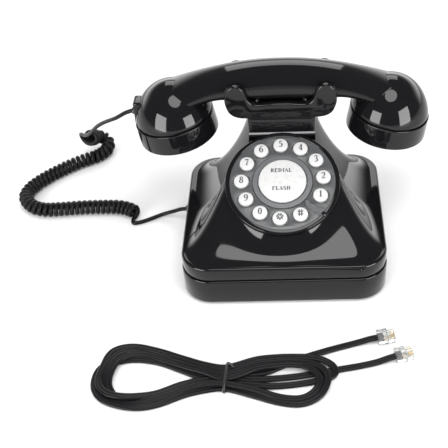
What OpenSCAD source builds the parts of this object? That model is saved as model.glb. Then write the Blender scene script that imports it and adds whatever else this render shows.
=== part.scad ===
// Push-button desk telephone with a pagoda-shaped base, a tilted dial-style keypad,
// a four-horned cradle, a corded handset and a bundled line cord.
// Axes: X to the right, Y to the back, Z up. Millimetres. The phone stands on z = 0.

/* [Base] */
// Width of the base over its tray
base_w = 150; // [148:1:156]
// Depth of the base over its tray
base_d = 134; // [132:1:140]
// Plan radius of the base's corners
corner_r = 22; // [18:1:26]
// Height of the top of the tray's outer wall
tray_top = 22.5; // [20:0.5:23]
// Height of the housing's lip band
lip_h = 10.5; // [8:0.5:11]
// Wall thickness of the moulded shells
wall = 2.4; // [2:0.1:2.8]
// Height of the rubber feet below the tray
foot_h = 1.5; // [1:0.25:2]

/* [Dial] */
// Tilt of the dial from horizontal
dial_tilt = 23.3; // [22:0.1:24]
// Radius of the dial plate
dial_r = 38.6; // [38:0.1:39]
// Radius of a key's cap
key_r = 5.7; // [5:0.1:5.8]
// Radius of the ring that the keys stand on
key_ring_r = 30; // [29.5:0.1:30.2]
// Height of a key's cap above the plate
key_h = 1.8; // [1.4:0.1:2.2]
// Radius of the rocking centre button
rocker_r = 17.5; // [17:0.1:17.6]

/* [Neck and cradle] */
// Width of the neck
neck_w = 50; // [48:1:52]
// Width of the cradle over its horns
cradle_w = 82; // [80:1:84]
// Depth of the cradle over its horns
cradle_d = 38; // [37:0.5:39]
// Thickness of a horn, front to back
horn_t = 4.8; // [4.4:0.1:4.9]

/* [Handset] */
// Outer radius of the earpiece and mouthpiece caps
cap_r = 30.8; // [30:0.2:31.4]
// Distance of a cap's centre from the middle of the handset
cap_x = 79; // [78:0.5:80]
// Inward tilt of the caps' faces
cap_tilt = 9; // [7:1:11]
// Height of a cap's band
cap_h = 17; // [15:0.5:18]
// Height of the dome on a cap
dome_h = 28; // [26:0.5:29]
// Half the depth of the handle
handle_ry = 13.8; // [13:0.1:13.9]
// Half the height of the handle
handle_rz = 13.6; // [13:0.1:13.8]

/* [Cords] */
// Diameter of the handset cord's wire
wire_d = 3.2; // [2.8:0.1:3.4]
// Outer diameter of the handset cord's coil
coil_d = 12; // [11:0.5:12.5]
// Width of the flat line cord
flat_w = 5; // [4.6:0.1:5.2]
// Thickness of the flat line cord
flat_t = 2.4; // [2:0.1:2.6]

/* [Hidden] */

$fn = 64;
eps = 0.01;
black = "#161616";
grey = "#4a4c4e";
white = "#f2f2f0";

// Levels and places of the base
base_y = -5;
groove_h = 1.5;
lip_inset = 0.6;
skirt_inset = 3;
lip_bottom = tray_top + groove_h;
lip_top = lip_bottom + lip_h;
floor_top = foot_h + wall;

// Dial centre, on the top face of its plate
dial_c = [0, -15.5, 68.5];
drum_r = 42;
drum_depth = 8;
first_key = -24;
key_step = 29;

// Neck and cradle
neck_front = 24;
neck_rear = 51;
neck_top = 98.5;
cradle_y = 40.5;
saddle_z = 107.9;
horn_top = 126.5;
peg_x = 18;
peg_y = 31;
peg_r = 2.8;
peg_top = 110.2;
yoke_z = 85.5;
spring_z = 75;
switch_z = 64;

// Handset
handle_z = 121.8;
cap_z = 75.5;
seam_z = handle_z - 8.3;
handset_screw_x = 34;
boot_z = 96;
handle_end = 84;

// Places inside the base
jack_x = -28;
jack_w = 14;
jack_z = 6;
jack_h = 13;
grommet_y = 22;
grommet_z = 13;
screw_x = 56;
screw_y = 50;
hank_h = 6;

// Route of the lead between the handset and its coil
lead_points = [
    [-113, 40.5, 96], [-119, 42, 93], [-129, 48, 86], [-141, 60, 73], [-154, 77, 53],
    [-167, 95, 33], [-178, 111, 15], [-183, 120, 8], [-182, 126, 6.3], [-177.5, 129.6, 6.3]
];
// Axis of the handset cord's coil, where it lies
coil_points = [
    [-177, 130, 6.3], [-169, 131, 6.3], [-163, 124, 6.3], [-164, 114, 6.3], [-173, 102, 6.3],
    [-184, 94, 6.3], [-196, 85, 6.3], [-207, 74, 6.3], [-214, 62, 6.3], [-215, 49, 6.3],
    [-209, 38, 6.3], [-198, 33, 6.3], [-184, 33, 6.3], [-165, 35, 6.3], [-143, 36, 6.3], [-130, 32, 6.3]
];
// Route of the lead between the coil and the base
base_lead_points = [
    [-129.9, 31.9, 6.3], [-125, 29, 5], [-122, 22, 2.6], [-116, 18, 2.2], [-105, 19, 3],
    [-94, 21, 7], [-85, 22, 12], [-79, 22, 13]
];
// Routes of the line cord's free ends, out of its hank
tail_a_points = [
    [-2, -131, 2.6], [8, -126, 1.6], [22, -120, 1.5], [38, -115, 1.5], [52, -112, 1.8], [63.8, -110, 3.6]
];
tail_b_points = [
    [30, -139, 2.6], [40, -136, 1.6], [52, -133, 1.6], [64, -130, 2], [74.8, -127, 3.6]
];

// ---------- functions ----------

function dial_point(p) = dial_c
    + [p.x, p.y * cos(dial_tilt) - p.z * sin(dial_tilt), p.y * sin(dial_tilt) + p.z * cos(dial_tilt)];

// A point of the rounded rectangle of the base, inset by s, on the ray at angle a
function corner_hit(cx, cy, r, a) =
    let (dx = cos(a), dy = sin(a), b = dx * cx + dy * cy)
    b + sqrt(b * b - cx * cx - cy * cy + r * r);
function outline_radius(hx, hy, r, a) =
    let (c = abs(cos(a)), s = abs(sin(a)), straight = min(hx / max(c, eps), hy / max(s, eps)))
    (straight * c > hx - r && straight * s > hy - r)
        ? corner_hit(hx - r, hy - r, r, atan2(s, c)) : straight;
function outline_point(s, a) =
    outline_radius(base_w / 2 - s, base_d / 2 - s, corner_r - s, a) * [cos(a), sin(a)] + [0, base_y];

// The keyhole outline of the housing's top, in the plane of the dial: drum, then neck
neck_joint = acos(neck_w / 2 / drum_r);
neck_far = (neck_rear - dial_c.y) / cos(dial_tilt);
drum_steps = 32;
side_steps = 5;
rear_steps = 4;
function keyhole(s, z) = let (
        near = (drum_r - s) * sin(neck_joint), far = neck_far - s, half = neck_w / 2 - s,
        top = [for (i = [0:side_steps]) [half, near + (far - near) * i / side_steps]],
        rear = [for (i = [1:rear_steps - 1]) [half - 2 * half * i / rear_steps, far]],
        back = [for (i = [side_steps:-1:1]) [-half, near + (far - near) * i / side_steps]],
        drum = [for (i = [0:drum_steps - 1])
            let (a = 180 - neck_joint + (180 + 2 * neck_joint) * i / drum_steps)
            (drum_r - s) * [cos(a), sin(a)]]
    )
    [for (p = concat(top, rear, back, drum)) dial_point([p.x, p.y, z])];
// Bearings on the base's outline that belong to those points
crease = -5;
rear_corner = 62;
function bearings() = concat(
    [for (i = [0:side_steps]) crease + (rear_corner - crease) * i / side_steps],
    [for (i = [1:rear_steps - 1]) rear_corner + (180 - 2 * rear_corner) * i / rear_steps],
    [for (i = [side_steps:-1:1]) 180 - crease - (rear_corner - crease) * i / side_steps],
    [for (i = [0:drum_steps - 1]) 180 - crease + (180 + 2 * crease) * i / drum_steps]
);
// How concave the housing is on a bearing: less at the front corners
function sweep_power(a) = 2 - 0.6 * pow(sin(2 * a), 2) * (sin(a) < 0 ? 1 : 0);
housing_rows = 8;

// Closed rings of points along a route, with a flat or a round section
function unit(v) = v / norm(v);
function along(p, i) = unit(p[min(i + 1, len(p) - 1)] - p[max(i - 1, 0)]);
function ring(c, t, w, h, n) = let (side = unit(cross([0, 0, 1], t)), up = cross(t, side))
    [for (k = [0:n - 1]) let (a = 360 * (k + 0.5) / n) c + side * w * cos(a) + up * h * sin(a)];
// Catmull-Rom points between the route's own
function between(p, i, t) = let (
        a = p[max(i - 1, 0)], b = p[i], c = p[i + 1], d = p[min(i + 2, len(p) - 1)]
    )
    0.5 * (2 * b + (c - a) * t + (2 * a - 5 * b + 4 * c - d) * t * t + (3 * b - a - 3 * c + d) * t * t * t);
function smooth_route(p, n) = concat(
    [for (i = [0:len(p) - 2], k = [0:n - 1]) between(p, i, k / n)], [p[len(p) - 1]]
);

// Half depth, top and bottom of the handle at a distance from its middle
function handle_half(x) = handle_ry + 7 * pow(max(0, abs(x) - 42) / 42, 2);
function handle_top(x) = handle_z + handle_rz - 18 * pow(abs(x) / handle_end, 2.1);
function handle_bottom(x) = handle_z - handle_rz - 11 * pow(max(0, abs(x) - 44) / 40, 1.6);

// ---------- shared modules ----------

module on_dial() { translate(dial_c) rotate([dial_tilt, 0, 0]) children(); }

module base_outline(s) {
    translate([0, base_y]) {
        square([base_w - 2 * s, base_d - 2 * corner_r], center = true);
        square([base_w - 2 * corner_r, base_d - 2 * s], center = true);
        for (x = [-1, 1], y = [-1, 1])
            translate([x * (base_w / 2 - corner_r), y * (base_d / 2 - corner_r)]) circle(r = corner_r - s);
    }
}

module slab(s, low, high) { translate([0, 0, low]) linear_extrude(high - low) base_outline(s); }

// Joins swept and turned surfaces into one shell
module one_shell() { resize([0, 0, 0]) children(); }

// Skin a list of rings of equal length into a closed solid
module skin(rings) {
    n = len(rings[0]);
    m = len(rings);
    polyhedron(
        points = [for (r = rings) each r],
        faces = concat(
            [[for (k = [0:n - 1]) k]],
            [for (i = [0:m - 2], k = [0:n - 1]) let (a = i * n + k, b = i * n + (k + 1) % n)
                each [[a, a + n, b], [b, a + n, b + n]]],
            [[for (k = [n - 1:-1:0]) (m - 1) * n + k]]
        )
    );
}

module tube(route, w, h, n) {
    skin([for (i = [0:len(route) - 1]) ring(route[i], along(route, i), w / 2, h / 2, n)]);
}

// The housing's sweep from the base's outline up to the keyhole
module pagoda(s, low, z) {
    angles = bearings();
    top = keyhole(s, z);
    skin([for (j = [0:housing_rows]) [for (i = [0:len(angles) - 1])
        let (p = outline_point(skirt_inset + s, angles[i]), t = j / housing_rows, q = top[i])
        [p.x + (q.x - p.x) * t, p.y + (q.y - p.y) * t,
            low + (q.z - low) * pow(t, sweep_power(angles[i]))]]]);
}

module screw(length) {
    translate([0, 0, -2]) cylinder(r = 2.8, h = 2);
    translate([0, 0, -eps]) cylinder(r = 1.4, h = length);
}

module at_screws() { for (x = [-1, 1], y = [-1, 1]) translate([x * screw_x, base_y + y * screw_y, 0]) children(); }

// ---------- base ----------

module base_tray() {
    color(black) difference() {
        union() {
            difference() {
                union() {
                    slab(0, foot_h, tray_top);
                    slab(skirt_inset + 0.4, tray_top - eps, lip_bottom + 3);
                }
                slab(skirt_inset + 0.4 + wall, floor_top, lip_bottom + 4);
            }
            at_screws() translate([0, 0, floor_top - eps]) cylinder(r = 5, h = 14);
        }
        at_screws() {
            translate([0, 0, foot_h - 1]) cylinder(r = 3.2, h = 3.5);
            cylinder(r = 1.6, h = 30);
        }
        translate([jack_x - jack_w / 2 - 0.2, base_y + base_d / 2 - 8, jack_z - 0.2])
            cube([jack_w + 0.4, 10, jack_h + 0.4]);
        translate([-base_w / 2 - 1, grommet_y, grommet_z]) rotate([0, 90, 0]) cylinder(r = 4, h = 12);
        for (i = [-3:3]) translate([i * 5 + 30, base_y - 22, 0]) cylinder(r = 1.2, h = 8);
    }
}

module rubber_feet() {
    color("#2a2a2a") for (x = [-1, 1], y = [-1, 1])
        translate([x * 40, base_y + y * 48, 0]) cylinder(r = 7, h = foot_h);
}

module base_screws() { color("silver") at_screws() translate([0, 0, foot_h + 2.5]) screw(14); }

// ---------- housing ----------

module upper_housing() {
    color(black) one_shell() difference() {
        union() {
            slab(lip_inset, lip_bottom, lip_top);
            pagoda(0.6, lip_top - eps, -drum_depth / 2);
            on_dial() translate([0, 0, -drum_depth]) cylinder(r = drum_r, h = drum_depth);
            translate([-neck_w / 2, neck_front, 72]) cube([neck_w, neck_rear - neck_front, neck_top - 72]);
        }
        slab(skirt_inset + 0.1, lip_bottom - 1, lip_bottom + 4);
        slab(skirt_inset + wall, lip_bottom - 1, lip_top - wall);
        pagoda(wall + 0.6, lip_top - wall - 0.2, -drum_depth / 2 - wall);
        on_dial() translate([0, 0, -30]) cylinder(r = dial_r + 0.2, h = 40);
        translate([-neck_w / 2 + wall, neck_front + wall, 60])
            cube([neck_w - 2 * wall, neck_rear - neck_front - 2 * wall, 60]);
    }
}

module neck_panel() {
    color(black) translate([-neck_w / 2 + 2, neck_front - 1.2, neck_top - 11.5]) cube([neck_w - 4, 1.2, 10]);
}

module dial_ring() {
    color(black) on_dial() rotate_extrude() polygon(concat(
        [[dial_r + 0.2, 0], [drum_r, 0], [drum_r, 0.6]],
        [for (i = [1:4]) [drum_r - 0.8 * i / 4, 0.6 + 0.6 * sin(22.5 * i)]],
        [[dial_r + 0.2, 0.6]]
    ));
}

// ---------- cradle ----------

function horn_side(half, m) = [
    [m * (half - 14), neck_top], [m * (half - 6), neck_top + 2], [m * (half - 1.4), neck_top + 8],
    [m * half, neck_top + 16], [m * (half - 2.5), horn_top - 6], [m * (half - 6), horn_top - 1],
    [m * (half - 8), horn_top], [m * (half - 10.5), horn_top - 0.6], [m * (half - 12.5), horn_top - 3],
    [m * (half - 15), horn_top - 10], [m * (half - 17), saddle_z + 3], [m * (half - 20), saddle_z + 0.6]
];
function reversed(list) = [for (i = [len(list) - 1:-1:0]) list[i]];

module cradle() {
    color(black) difference() {
        translate([0, cradle_y + cradle_d / 2, 0]) rotate([90, 0, 0]) linear_extrude(cradle_d)
            polygon(concat(horn_side(cradle_w / 2, 1), reversed(horn_side(cradle_w / 2, -1))));
        translate([-cradle_w, cradle_y - cradle_d / 2 + horn_t, saddle_z])
            cube([2 * cradle_w, cradle_d - 2 * horn_t, 40]);
        for (x = [-1, 1]) translate([x * peg_x, peg_y, 90]) cylinder(r = peg_r + 0.3, h = 30);
        for (x = [-1, 1]) translate([x * 12, 45.5, 90]) cylinder(r = 1.5, h = 30);
    }
}

module cradle_screws() {
    color("silver") for (x = [-1, 1]) translate([x * 12, 45.5, saddle_z - 14]) cylinder(r = 1.4, h = 13.5);
}

module hook_plungers() {
    color(black) {
        for (x = [-1, 1]) translate([x * peg_x, peg_y, 0]) {
            translate([0, 0, yoke_z]) cylinder(r = peg_r, h = peg_top - yoke_z - 1);
            translate([0, 0, peg_top - 1 - eps]) cylinder(r1 = peg_r, r2 = peg_r - 1, h = 1);
        }
        translate([-peg_x - 2, peg_y - 2, yoke_z]) cube([2 * peg_x + 4, 4, 4]);
    }
}

module hook_spring() {
    color("silver") translate([0, peg_y, spring_z]) difference() {
        cylinder(r = 3, h = yoke_z - spring_z - 0.2);
        translate([0, 0, -1]) cylinder(r = 2.3, h = 20);
    }
}

module hook_switch() {
    color("#303338") {
        translate([-10, peg_y - 4, switch_z + 1]) cube([20, 8, spring_z - switch_z - 1]);
        translate([-14, peg_y - 3, switch_z - 1]) cube([28, 20, 2 + eps]);
    }
}

// ---------- dial ----------

module at_key(i) {
    on_dial() rotate([0, 0, first_key + key_step * i]) translate([key_ring_r, 0, 0]) children();
}

module dial_plate() {
    color(grey) difference() {
        union() {
            on_dial() translate([0, 0, -2]) cylinder(r = dial_r, h = 2);
            on_dial() for (x = [-1, 1]) translate([x * 19.4 - 1.2, -2.5, -5.8]) cube([2.4, 5, 4.5]);
        }
        for (i = [0:11]) at_key(i) translate([0, 0, -5]) cylinder(r = key_r + 0.3, h = 10);
        on_dial() translate([0, 0, -2 - eps]) cylinder(r = rocker_r + 0.5, h = 5);
        on_dial() translate([-22, 0, -4.2]) rotate([0, 90, 0]) cylinder(r = 0.8, h = 44);
    }
}

module dial_inner_ring() {
    color(grey) on_dial() rotate_extrude() polygon([
        [rocker_r + 0.5, 0], [22, 0], [22, 0.3], [21.6, 0.7], [rocker_r + 1, 0.7], [rocker_r + 0.5, 0.3]
    ]);
}

module finger_stop() {
    color(grey) on_dial() rotate([0, 0, first_key - 22.5]) linear_extrude(1) {
        translate([25, 0]) circle(r = 1.5);
        translate([25, -1.5]) square([dial_r - 25.4, 3]);
    }
}

module keypad_membrane() {
    color("#777777") on_dial() translate([0, 0, -7]) difference() {
        cylinder(r = 37.5, h = 0.8);
        translate([0, 0, -1]) cylinder(r = 19.5, h = 3);
    }
}

module keypad_pcb() {
    color("#1f5d33") on_dial() translate([0, 0, -8.7]) cylinder(r = 37.5, h = 1.6);
}

module rocker_pin() {
    color("silver") on_dial() translate([-20.4, 0, -4.2]) rotate([0, 90, 0]) cylinder(r = 0.75, h = 40.8);
}

module center_rocker() {
    color(white) on_dial() difference() {
        union() {
            cylinder(r = rocker_r, h = 1.6);
            translate([0, 0, 1.6]) cylinder(r1 = rocker_r, r2 = rocker_r - 0.8, h = 0.6);
            translate([-13.5, -2, -5.6]) cube([27, 4, 5.7]);
        }
        translate([-20, 0, -4.2]) rotate([0, 90, 0]) cylinder(r = 0.85, h = 40);
    }
}

module key(i) {
    color(white) at_key(i) {
        translate([0, 0, -1.2]) cylinder(r = key_r, h = key_h + 0.8);
        translate([0, 0, key_h - 0.4]) cylinder(r1 = key_r, r2 = key_r - 0.5, h = 0.4);
        translate([0, 0, -3]) cylinder(r = key_r + 0.5, h = 0.8);
        translate([0, 0, -2.3]) cylinder(r = key_r - 0.6, h = 1.2);
        translate([0, 0, -4.8]) cylinder(r = 2, h = 2);
    }
}

// ---------- inside the base ----------

module main_pcb() {
    color("#1f5d33") translate([-45, base_y - 46, 9]) cube([60, 74, 1.6]);
    color("#2b2b2b") {
        translate([-30, base_y - 30, 10.6 - eps]) cube([14, 10, 2.6]);
        translate([-6, base_y - 10, 10.6 - eps]) cylinder(r = 4, h = 8);
        translate([-36, base_y + 8, 10.6 - eps]) cube([18, 8, 7]);
    }
    color(black) for (x = [-40, 10], y = [-41, 23])
        translate([x, base_y + y, floor_top]) cylinder(r = 3, h = 9 - floor_top + eps);
}

module ribbon_cable() {
    color("#9a9a9a") translate([8, 0, 0]) rotate([90, 0, -90]) linear_extrude(16) polygon([
        [12.4, 57], [13, 57], [13, 40], [8, 26], [8, 10.7], [7.4, 10.7], [7.4, 26.1], [12.4, 40.1]
    ]);
}

module ringer() {
    color("#303338") translate([30, base_y - 22, floor_top]) difference() {
        cylinder(r = 14, h = 11);
        translate([0, 0, -1]) cylinder(r = 12, h = 3);
    }
}

module ballast_weight() {
    color("#6f7376") translate([22, base_y + 4, floor_top]) cube([26, 40, 5]);
}

module line_jack() {
    color(black) translate([jack_x - jack_w / 2, base_y + base_d / 2 - 15, jack_z]) difference() {
        cube([jack_w, 15, jack_h]);
        translate([2, 3, 2]) cube([10, 13, 7]);
        translate([4, 3, 8.9]) cube([6, 13, 2]);
    }
}

module jack_contacts() {
    color("gold") for (i = [0:3])
        translate([jack_x - 1.95 + 1.3 * i - 0.25, base_y + base_d / 2 - 12, jack_z + 2.1])
            cube([0.5, 8, 0.6]);
}

module cord_grommet() {
    color("#222222") translate([-base_w / 2 - 4, grommet_y, grommet_z]) rotate([0, 90, 0]) {
        difference() {
            union() {
                cylinder(r = 3.9, h = 12);
                translate([0, 0, 2.8]) cylinder(r = 5.4, h = 1.2);
                translate([0, 0, 4 + skirt_inset + 0.4 + wall]) cylinder(r = 5.4, h = 1.6);
            }
            translate([0, 0, -1]) cylinder(r = wire_d / 2 + 0.1, h = 20);
        }
    }
}

// ---------- handset ----------

module on_cap(side) {
    translate([side * cap_x, cradle_y, cap_z]) rotate([0, side * cap_tilt, 0]) children();
}

module dome(s) {
    r = cap_r - 2.4 - s;
    rotate_extrude($fn = 40) polygon(concat(
        [[0, cap_h - s], [r, cap_h - s]],
        [for (i = [1:7]) let (a = 90 * i / 8) [r * cos(a), cap_h + 2 + (dome_h - 2 - s) * sin(a)]],
        [[0, cap_h + dome_h - s]]
    ));
}

module bar(s) {
    stations = [for (i = [-8:8]) sign(i) * handle_end * pow(abs(i) / 8, 0.85)];
    skin([for (x = stations) let (
            ry = handle_half(x) - s, top = handle_top(x) - s, low = handle_bottom(x) + s
        )
        [for (k = [0:23]) let (a = 360 * (k + 0.5) / 24)
            [x, cradle_y + ry * cos(a), (top + low) / 2 + (top - low) / 2 * sin(a)]]]);
}

module handset_body(s) {
    bar(s);
    for (m = [-1, 1]) on_cap(m) dome(s);
}

module cover_region(gap) {
    translate([-48 - gap, cradle_y - 20, seam_z - 12]) cube([96 + 2 * gap, 40, 12 + gap]);
}

module handset_shell() {
    color(black) one_shell() difference() {
        union() {
            difference() {
                handset_body(0);
                handset_body(wall);
                cover_region(0.1);
            }
            for (x = [-1, 1]) translate([x * handset_screw_x, cradle_y, seam_z + 0.3]) cylinder(r = 3, h = 18, $fn = 20);
        }
        for (x = [-1, 1]) translate([x * handset_screw_x, cradle_y, seam_z - 5]) cylinder(r = 1.5, h = 16, $fn = 20);
        translate([-cap_x - 40, cradle_y, boot_z]) rotate([0, 90, 0]) cylinder(r = 4, h = 18);
    }
}

module handle_cover() {
    color(black) one_shell() difference() {
        intersection() {
            bar(0);
            cover_region(0);
        }
        bar(wall);
        for (x = [-1, 1]) translate([x * handset_screw_x, cradle_y, seam_z - 12]) cylinder(r = 1.6, h = 14);
    }
}

module handset_screws() {
    color("silver") for (x = [-1, 1]) translate([x * handset_screw_x, cradle_y, seam_z - 4]) cylinder(r = 1.4, h = 12);
}

module cap(hole_rings) {
    color(black) difference() {
        rotate_extrude() polygon([
            [0, 1.2], [cap_r - 8, 1.2], [cap_r - 6, 0], [cap_r - 1, 0], [cap_r, 1.5], [cap_r - 0.6, cap_h - 1],
            [cap_r - 1.4, cap_h], [cap_r - 2.4 - wall, cap_h], [cap_r - 2.4 - wall, 3.4], [0, 3.4]
        ]);
        for (j = [0:hole_rings], k = [0:max(6 * j - 1, 0)])
            rotate([0, 0, k * 60 / max(j, 1)]) translate([j * 4.5, 0, -1]) cylinder(r = 1, h = 6, $fn = 16);
    }
}

module ear_cap() { on_cap(1) cap(3); }
module mouth_cap() { on_cap(-1) cap(2); }

module receiver_speaker() {
    color("#303338") on_cap(1) translate([0, 0, 3.4]) {
        cylinder(r = 20, h = 4);
        translate([0, 0, 4]) cylinder(r = 10, h = 6);
    }
}

module microphone() { color("silver") on_cap(-1) translate([0, 0, 3.4]) cylinder(r = 5, h = 6); }

module handset_weight() {
    color("#6f7376") translate([-26, cradle_y - 6, handle_z - 9.4]) cube([52, 12, 6]);
}

module handset_cord_boot() {
    color("#202020") translate([-cap_x - 34, cradle_y, boot_z]) rotate([0, 90, 0]) difference() {
        union() {
            cylinder(r1 = 2.6, r2 = 3.9, h = 12);
            translate([0, 0, 9.5]) cylinder(r = 5, h = 1.5);
        }
        translate([0, 0, -1]) cylinder(r = wire_d / 2 + 0.1, h = 20);
    }
}

// ---------- cords ----------

module handset_cord_lead() { color(black) tube(smooth_route(lead_points, 3), wire_d, wire_d, 8); }
module handset_cord_coil() { color(black) tube(smooth_route(coil_points, 3), coil_d, coil_d, 12); }
module base_cord_lead() { color(black) tube(smooth_route(base_lead_points, 3), wire_d, wire_d, 8); }
module line_cord_tail_a() { color(black) tube(smooth_route(tail_a_points, 3), flat_w, flat_t, 8); }
module line_cord_tail_b() { color(black) tube(smooth_route(tail_b_points, 3), flat_w, flat_t, 8); }

// Room for a free end, seen from above
module slot(route) {
    for (i = [0:2]) hull() for (p = [route[i], route[i + 1]]) translate([p.x, p.y]) circle(r = flat_w / 2 + 0.3);
}

module line_cord_hank() {
    color(black) translate([0, 0, 0.3]) linear_extrude(hank_h) difference() {
        union() {
            hull() {
                translate([-104, -140]) circle(r = 26);
                translate([-46, -142]) circle(r = 7);
            }
            hull() {
                translate([-46, -142]) circle(r = 7);
                translate([8, -146]) circle(r = 18);
                translate([20, -137]) circle(r = 16);
            }
        }
        hull() {
            translate([-103, -140]) circle(r = 14);
            translate([-72, -141]) circle(r = 3);
        }
        hull() {
            translate([2, -143]) circle(r = 5);
            translate([14, -143]) circle(r = 6);
        }
        slot(tail_a_points);
        slot(tail_b_points);
    }
}

module line_cord_tie() {
    color("#1a1a1a") difference() {
        translate([-41, -153.5, 0]) cube([3, 22.5, hank_h + 1]);
        translate([-42, -152.5, 0.3]) cube([5, 20.5, hank_h]);
    }
}

module line_plug() {
    color("#e6ecee") {
        translate([0, -4.85, 0.3]) cube([12.3, 9.7, 6.6]);
        translate([4, -1.6, 6.9 - eps]) cube([8.2, 3.2, 1]);
    }
}

module line_plug_a() { translate([64, -110, 0]) rotate([0, 0, 9]) line_plug(); }
module line_plug_b() { translate([75, -127, 0]) rotate([0, 0, 15]) line_plug(); }

base_tray();
rubber_feet();
base_screws();
upper_housing();
neck_panel();
cradle();
cradle_screws();
dial_ring();
dial_plate();
dial_inner_ring();
finger_stop();
keypad_membrane();
keypad_pcb();
rocker_pin();
center_rocker();
key(0);  // key_1
key(1);  // key_2
key(2);  // key_3
key(3);  // key_4
key(4);  // key_5
key(5);  // key_6
key(6);  // key_7
key(7);  // key_8
key(8);  // key_9
key(9);  // key_0
key(10);  // key_star
key(11);  // key_hash
main_pcb();
ribbon_cable();
hook_switch();
hook_spring();
hook_plungers();
ringer();
ballast_weight();
line_jack();
jack_contacts();
cord_grommet();
handset_shell();
handle_cover();
handset_screws();
ear_cap();
mouth_cap();
receiver_speaker();
microphone();
handset_weight();
handset_cord_boot();
handset_cord_lead();
handset_cord_coil();
base_cord_lead();
line_cord_hank();
line_cord_tail_a();
line_cord_tail_b();
line_cord_tie();
line_plug_a();
line_plug_b();
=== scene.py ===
from math import acos, atan2, copysign, cos, exp, pi, radians, sin, sqrt

import bmesh
import bpy
import numpy as np
from mathutils import Matrix, Vector


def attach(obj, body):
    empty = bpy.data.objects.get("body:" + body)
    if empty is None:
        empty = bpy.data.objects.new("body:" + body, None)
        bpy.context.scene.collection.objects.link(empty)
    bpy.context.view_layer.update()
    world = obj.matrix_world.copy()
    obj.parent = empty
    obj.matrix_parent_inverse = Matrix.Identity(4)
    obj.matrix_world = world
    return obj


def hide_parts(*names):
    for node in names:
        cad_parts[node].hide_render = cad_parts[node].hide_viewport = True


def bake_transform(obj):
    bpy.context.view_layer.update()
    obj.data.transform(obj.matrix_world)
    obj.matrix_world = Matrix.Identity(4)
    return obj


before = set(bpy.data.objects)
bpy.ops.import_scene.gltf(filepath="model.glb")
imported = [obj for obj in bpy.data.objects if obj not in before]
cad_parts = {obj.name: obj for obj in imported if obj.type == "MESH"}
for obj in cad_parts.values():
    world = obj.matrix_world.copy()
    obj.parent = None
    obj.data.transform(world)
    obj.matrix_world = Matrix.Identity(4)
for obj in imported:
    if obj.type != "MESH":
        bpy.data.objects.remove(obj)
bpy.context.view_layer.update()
MM = 0.001

# ---------- camera: in front, above, and turned a little ----------
ELEVATION, YAW, ROLL = radians(41.43), radians(-1.57), radians(-2.34)
CAMERA_AT = (0.01456, -0.52706, 0.47892)
SENSOR, LENS, SHIFT_X = 36.0, 72.3, -0.136
CLIP = (0.02, 60.0)


def add_object(name, data):
    obj = bpy.data.objects.new(name, data)
    bpy.context.scene.collection.objects.link(obj)
    return obj


def make_camera():
    level = cos(ELEVATION)
    look = Vector((sin(YAW) * level, cos(YAW) * level, -sin(ELEVATION)))
    right = look.cross(Vector((0, 0, 1))).normalized()
    up = right.cross(look)
    x_axis = cos(ROLL) * right + sin(ROLL) * up
    y_axis = cos(ROLL) * up - sin(ROLL) * right
    data = bpy.data.cameras.new("camera")
    data.sensor_width, data.lens, data.shift_x = SENSOR, LENS, SHIFT_X
    data.clip_start, data.clip_end = CLIP
    cam = add_object("camera", data)
    turn = Matrix((x_axis, y_axis, -look)).transposed()
    cam.matrix_world = Matrix.Translation(CAMERA_AT) @ turn.to_4x4()
    bpy.context.scene.camera = cam


make_camera()

# ---------- mesh helpers; points are in millimetres ----------


def add_mesh(name, points, faces, sharp=35.0):
    """A mesh piece from points in millimetres, smooth but for edges above the angle sharp."""
    data = bpy.data.meshes.new(name)
    data.from_pydata([tuple(p) for p in np.asarray(points, float) * MM], [], [tuple(f) for f in faces])
    data.validate()
    obj = add_object(name, data)
    finish_normals(obj, sharp)
    return obj


def finish_normals(obj, sharp=35.0):
    bm = bmesh.new()
    bm.from_mesh(obj.data)
    bmesh.ops.recalc_face_normals(bm, faces=bm.faces)
    bm.to_mesh(obj.data)
    bm.free()
    obj.data.shade_smooth()
    obj.data.set_sharp_from_angle(angle=radians(sharp))


def loft(rings, caps=True, loop=False):
    """Points and faces that join closed rings of equal length."""
    rings = [np.asarray(r, float) for r in rings]
    n, m = len(rings[0]), len(rings)
    faces = []
    for i in range(m if loop else m - 1):
        a, b = i * n, ((i + 1) % m) * n
        faces += [(a + k, a + (k + 1) % n, b + (k + 1) % n, b + k) for k in range(n)]
    if caps and not loop:
        faces += [tuple(range(n))[::-1], tuple(range((m - 1) * n, m * n))]
    return np.concatenate(rings), faces


def around(n):
    """Even bearings round a full turn."""
    return np.linspace(0, 2 * pi, n, endpoint=False)


def revolve(profile, n=96, place=None):
    """Points and faces of a profile of (radius, height) turned about Z. A radius of 0 gives one point."""
    points, rows = [], []
    for r, h in profile:
        if r < 1e-6:
            rows.append([len(points)])
            points.append((0, 0, h))
        else:
            rows.append(list(range(len(points), len(points) + n)))
            points += [(r * cos(a), r * sin(a), h) for a in around(n)]
    faces = []
    for lo, hi in zip(rows, rows[1:]):
        for k in range(n):
            q = (k + 1) % n
            if len(lo) == 1:
                faces.append((lo[0], hi[k], hi[q]))
            elif len(hi) == 1:
                faces.append((lo[k], lo[q], hi[0]))
            else:
                faces.append((lo[k], lo[q], hi[q], hi[k]))
    points = np.array(points, float)
    return (points if place is None else place(points)), faces


def closed_revolve(profile, n=96, place=None):
    """The same for a closed profile that keeps away from the axis."""
    return revolve(list(profile) + [profile[0]], n, place)


def arc(cx, cz, r, start, end, steps):
    """Profile points on an arc, angles in degrees."""
    angles = [radians(a) for a in np.linspace(start, end, steps)]
    return [(cx + r * cos(a), cz + r * sin(a)) for a in angles]


def join(parts):
    """One list of points and faces from several."""
    points, faces, shift = [], [], 0
    for p, f in parts:
        points.append(np.asarray(p, float))
        faces += [tuple(i + shift for i in g) for g in f]
        shift += len(p)
    return np.concatenate(points), faces


def placed(shape, place):
    """A shape with its points sent through a placing function."""
    return place(shape[0]), shape[1]


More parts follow.
